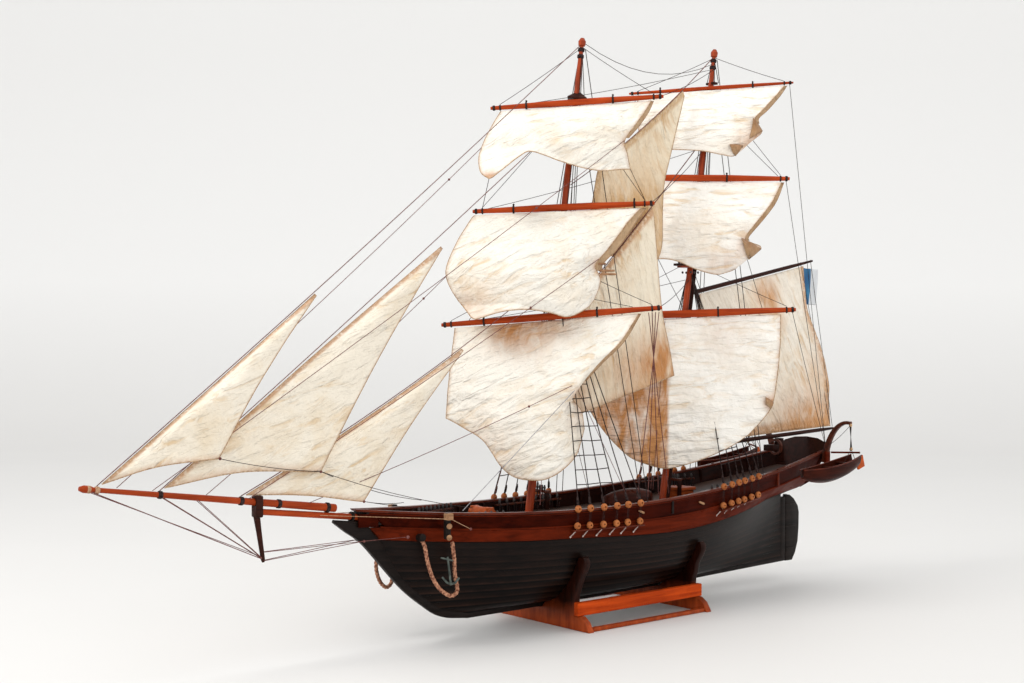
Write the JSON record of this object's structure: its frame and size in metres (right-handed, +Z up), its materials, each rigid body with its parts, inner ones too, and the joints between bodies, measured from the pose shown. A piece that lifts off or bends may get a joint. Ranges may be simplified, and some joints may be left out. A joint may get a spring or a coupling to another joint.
{
  "type": "tall ship model",
  "caption": "Wooden display model of a two-masted square-rigged sailing ship with linen sails, black and red-brown hull and orange-red spars, on its wooden cradle.",
  "frame": {"origin": "on the floor under the keel line, at the middle of the model's length over jib boom and spanker boom", "axes": "+X towards the bow, +Y to port, +Z up"},
  "size_m": [0.9674, 0.1808, 0.6129],
  "materials": {
    "hull_black": "black varnished wood, satin",
    "band": "red-brown varnished wood, glossy",
    "mahogany": "dark mahogany stain, glossy",
    "decking": "brown planks, satin",
    "spar": "orange-red varnished wood, glossy",
    "dark_spar": "dark brown varnished wood, satin",
    "sail_linen": "cream linen with brown stains",
    "flag_cloth": "small striped cloth, matt",
    "stay_cord": "thin brown-red twine",
    "anchor_metal": "grey-green cast metal",
    "cable_cord": "thick copper-coloured cord",
    "cradle": "orange-red varnished wood, glossy"
  },
  "bodies": {
    "ship": {"hull_body": "hull_black", "keel": "hull_black", "wale_band": "band", "bulwark_port": "mahogany", "bulwark_starboard": "mahogany", "cap_rail_port": "mahogany", "cap_rail_starboard": "mahogany", "transom": "mahogany", "longboat": "mahogany", "quarter_boat_port": "mahogany", "quarter_boat_starboard": "mahogany", "deck": "decking", "bowsprit": "spar", "jib_boom": "spar", "fore_lower_mast": "spar", "fore_topmast": "spar", "main_lower_mast": "spar", "main_topmast": "spar", "fore_course_yard": "spar", "fore_topsail_yard": "spar", "fore_topgallant_yard": "spar", "main_course_yard": "spar", "main_topsail_yard": "spar", "main_topgallant_yard": "spar", "skylight": "spar", "windlass": "spar", "trysail_mast": "dark_spar", "dolphin_striker": "dark_spar", "davit_port": "dark_spar", "davit_starboard": "dark_spar", "fore_course": "sail_linen", "fore_topsail": "sail_linen", "fore_topgallant": "sail_linen", "main_course": "sail_linen", "main_topsail": "sail_linen", "main_topgallant": "sail_linen", "flying_jib": "sail_linen", "outer_jib": "sail_linen", "fore_staysail": "sail_linen", "upper_staysail": "sail_linen", "lower_staysail": "sail_linen", "forestay": "stay_cord", "fore_topmast_stay": "stay_cord", "fore_topgallant_stay": "stay_cord", "main_topmast_stay": "stay_cord", "main_topgallant_stay": "stay_cord", "anchor_port": "anchor_metal", "anchor_starboard": "anchor_metal", "anchor_cable_port": "cable_cord", "anchor_cable_starboard": "cable_cord", "stand_fore_frame": "cradle", "stand_aft_frame": "cradle", "stand_plank_port": "cradle", "stand_plank_starboard": "cradle"},
    "rudder": {"rudder": "hull_black"},
    "spanker": {"gaff": "dark_spar", "boom": "dark_spar", "spanker_sail": "sail_linen", "flag": "flag_cloth"}
  },
  "joints": [
    {"name": "rudder_hinge", "type": "hinge", "parent": "ship", "child": "rudder", "pos_m": [-0.3907, 0, 0.06], "axis": [0, 0, 1], "range_deg": [-30, 30]},
    {"name": "spanker_hinge", "type": "hinge", "parent": "ship", "child": "spanker", "pos_m": [-0.19754, 0, 0.1655], "axis": [-0.1657, 0, 0.9862], "range_deg": [-8, 8]}
  ]
}
